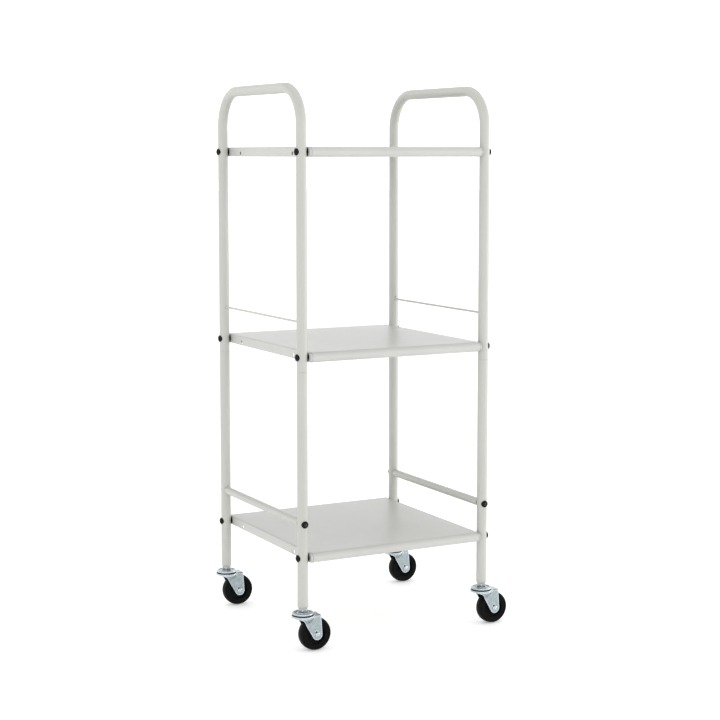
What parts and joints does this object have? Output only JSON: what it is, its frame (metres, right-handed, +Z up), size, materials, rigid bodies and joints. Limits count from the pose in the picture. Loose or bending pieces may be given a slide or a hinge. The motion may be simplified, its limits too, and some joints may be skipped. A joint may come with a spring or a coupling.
{
  "type": "rolling salon trolley",
  "caption": "Open rolling trolley: folded steel shelves bolted between inverted-U tube hoops with side handles, side rails and trailing swivel casters.",
  "frame": {"origin": "on the floor, at the middle of the footprint with every caster trailing along +X", "axes": "+Z up, +X across the trolley towards the side the casters trail to, +Y from front to back"},
  "size_m": [0.3745, 0.321, 0.8437],
  "materials": {
    "frame_paint": "satin powder coat, fine orange peel",
    "shelf_paint": "satin powder coat, fine orange peel",
    "zinc_plate": "bright blue-passivated zinc plate",
    "black_bolts": "black oxide",
    "black_nylon": "moulded black nylon",
    "hub_plastic": "moulded black polypropylene",
    "tyre_rubber": "satin black rubber",
    "seal_rubber": "matte black",
    "bearing_steel": "polished"
  },
  "bodies": {
    "frame": {"left_hoop": "frame_paint", "left_crossbar": "frame_paint", "left_wire_rail": "frame_paint", "right_hoop": "frame_paint", "right_crossbar": "frame_paint", "right_wire_rail": "frame_paint", "front_left_leg": "frame_paint", "rear_left_leg": "frame_paint", "front_right_leg": "frame_paint", "rear_right_leg": "frame_paint", "bottom_shelf": "shelf_paint", "middle_shelf": "shelf_paint", "top_shelf": "shelf_paint", "shelf_bolts": "black_bolts", "crossbar_bolts": "black_bolts", "shelf_outer_washers": "black_nylon", "shelf_inner_washers": "black_nylon", "crossbar_washers": "black_nylon", "shelf_nuts": "zinc_plate", "crossbar_inserts": "zinc_plate", "leg_inserts": "zinc_plate", "caster_stems": "zinc_plate", "caster_stem_nuts": "zinc_plate", "caster_top_cups": "zinc_plate"},
    "front_left_swivel": {"front_left_fork": "zinc_plate", "front_left_swivel_seal": "seal_rubber", "front_left_swivel_balls": "bearing_steel", "front_left_axle_rivet": "zinc_plate", "front_left_axle_sleeve": "zinc_plate"},
    "front_left_wheel": {"front_left_wheel_hub": "hub_plastic", "front_left_wheel_tyre": "tyre_rubber"},
    "rear_left_swivel": {"rear_left_fork": "zinc_plate", "rear_left_swivel_seal": "seal_rubber", "rear_left_swivel_balls": "bearing_steel", "rear_left_axle_rivet": "zinc_plate", "rear_left_axle_sleeve": "zinc_plate"},
    "rear_left_wheel": {"rear_left_wheel_hub": "hub_plastic", "rear_left_wheel_tyre": "tyre_rubber"},
    "front_right_swivel": {"front_right_fork": "zinc_plate", "front_right_swivel_seal": "seal_rubber", "front_right_swivel_balls": "bearing_steel", "front_right_axle_rivet": "zinc_plate", "front_right_axle_sleeve": "zinc_plate"},
    "front_right_wheel": {"front_right_wheel_hub": "hub_plastic", "front_right_wheel_tyre": "tyre_rubber"},
    "rear_right_swivel": {"rear_right_fork": "zinc_plate", "rear_right_swivel_seal": "seal_rubber", "rear_right_swivel_balls": "bearing_steel", "rear_right_axle_rivet": "zinc_plate", "rear_right_axle_sleeve": "zinc_plate"},
    "rear_right_wheel": {"rear_right_wheel_hub": "hub_plastic", "rear_right_wheel_tyre": "tyre_rubber"}
  },
  "joints": [
    {"name": "front_left_swivel_turn", "type": "hinge", "parent": "frame", "child": "front_left_swivel", "pos_m": [-0.16975, -0.143, 0.0554], "axis": [0, 0, 1], "continuous": true},
    {"name": "front_left_wheel_roll", "type": "hinge", "parent": "front_left_swivel", "child": "front_left_wheel", "pos_m": [-0.15075, -0.143, 0.025], "axis": [0, 1, 0], "continuous": true},
    {"name": "rear_left_swivel_turn", "type": "hinge", "parent": "frame", "child": "rear_left_swivel", "pos_m": [-0.16975, 0.143, 0.0554], "axis": [0, 0, 1], "continuous": true},
    {"name": "rear_left_wheel_roll", "type": "hinge", "parent": "rear_left_swivel", "child": "rear_left_wheel", "pos_m": [-0.15075, 0.143, 0.025], "axis": [0, 1, 0], "continuous": true},
    {"name": "front_right_swivel_turn", "type": "hinge", "parent": "frame", "child": "front_right_swivel", "pos_m": [0.14325, -0.143, 0.0554], "axis": [0, 0, 1], "continuous": true},
    {"name": "front_right_wheel_roll", "type": "hinge", "parent": "front_right_swivel", "child": "front_right_wheel", "pos_m": [0.16225, -0.143, 0.025], "axis": [0, 1, 0], "continuous": true},
    {"name": "rear_right_swivel_turn", "type": "hinge", "parent": "frame", "child": "rear_right_swivel", "pos_m": [0.14325, 0.143, 0.0554], "axis": [0, 0, 1], "continuous": true},
    {"name": "rear_right_wheel_roll", "type": "hinge", "parent": "rear_right_swivel", "child": "rear_right_wheel", "pos_m": [0.16225, 0.143, 0.025], "axis": [0, 1, 0], "continuous": true}
  ]
}
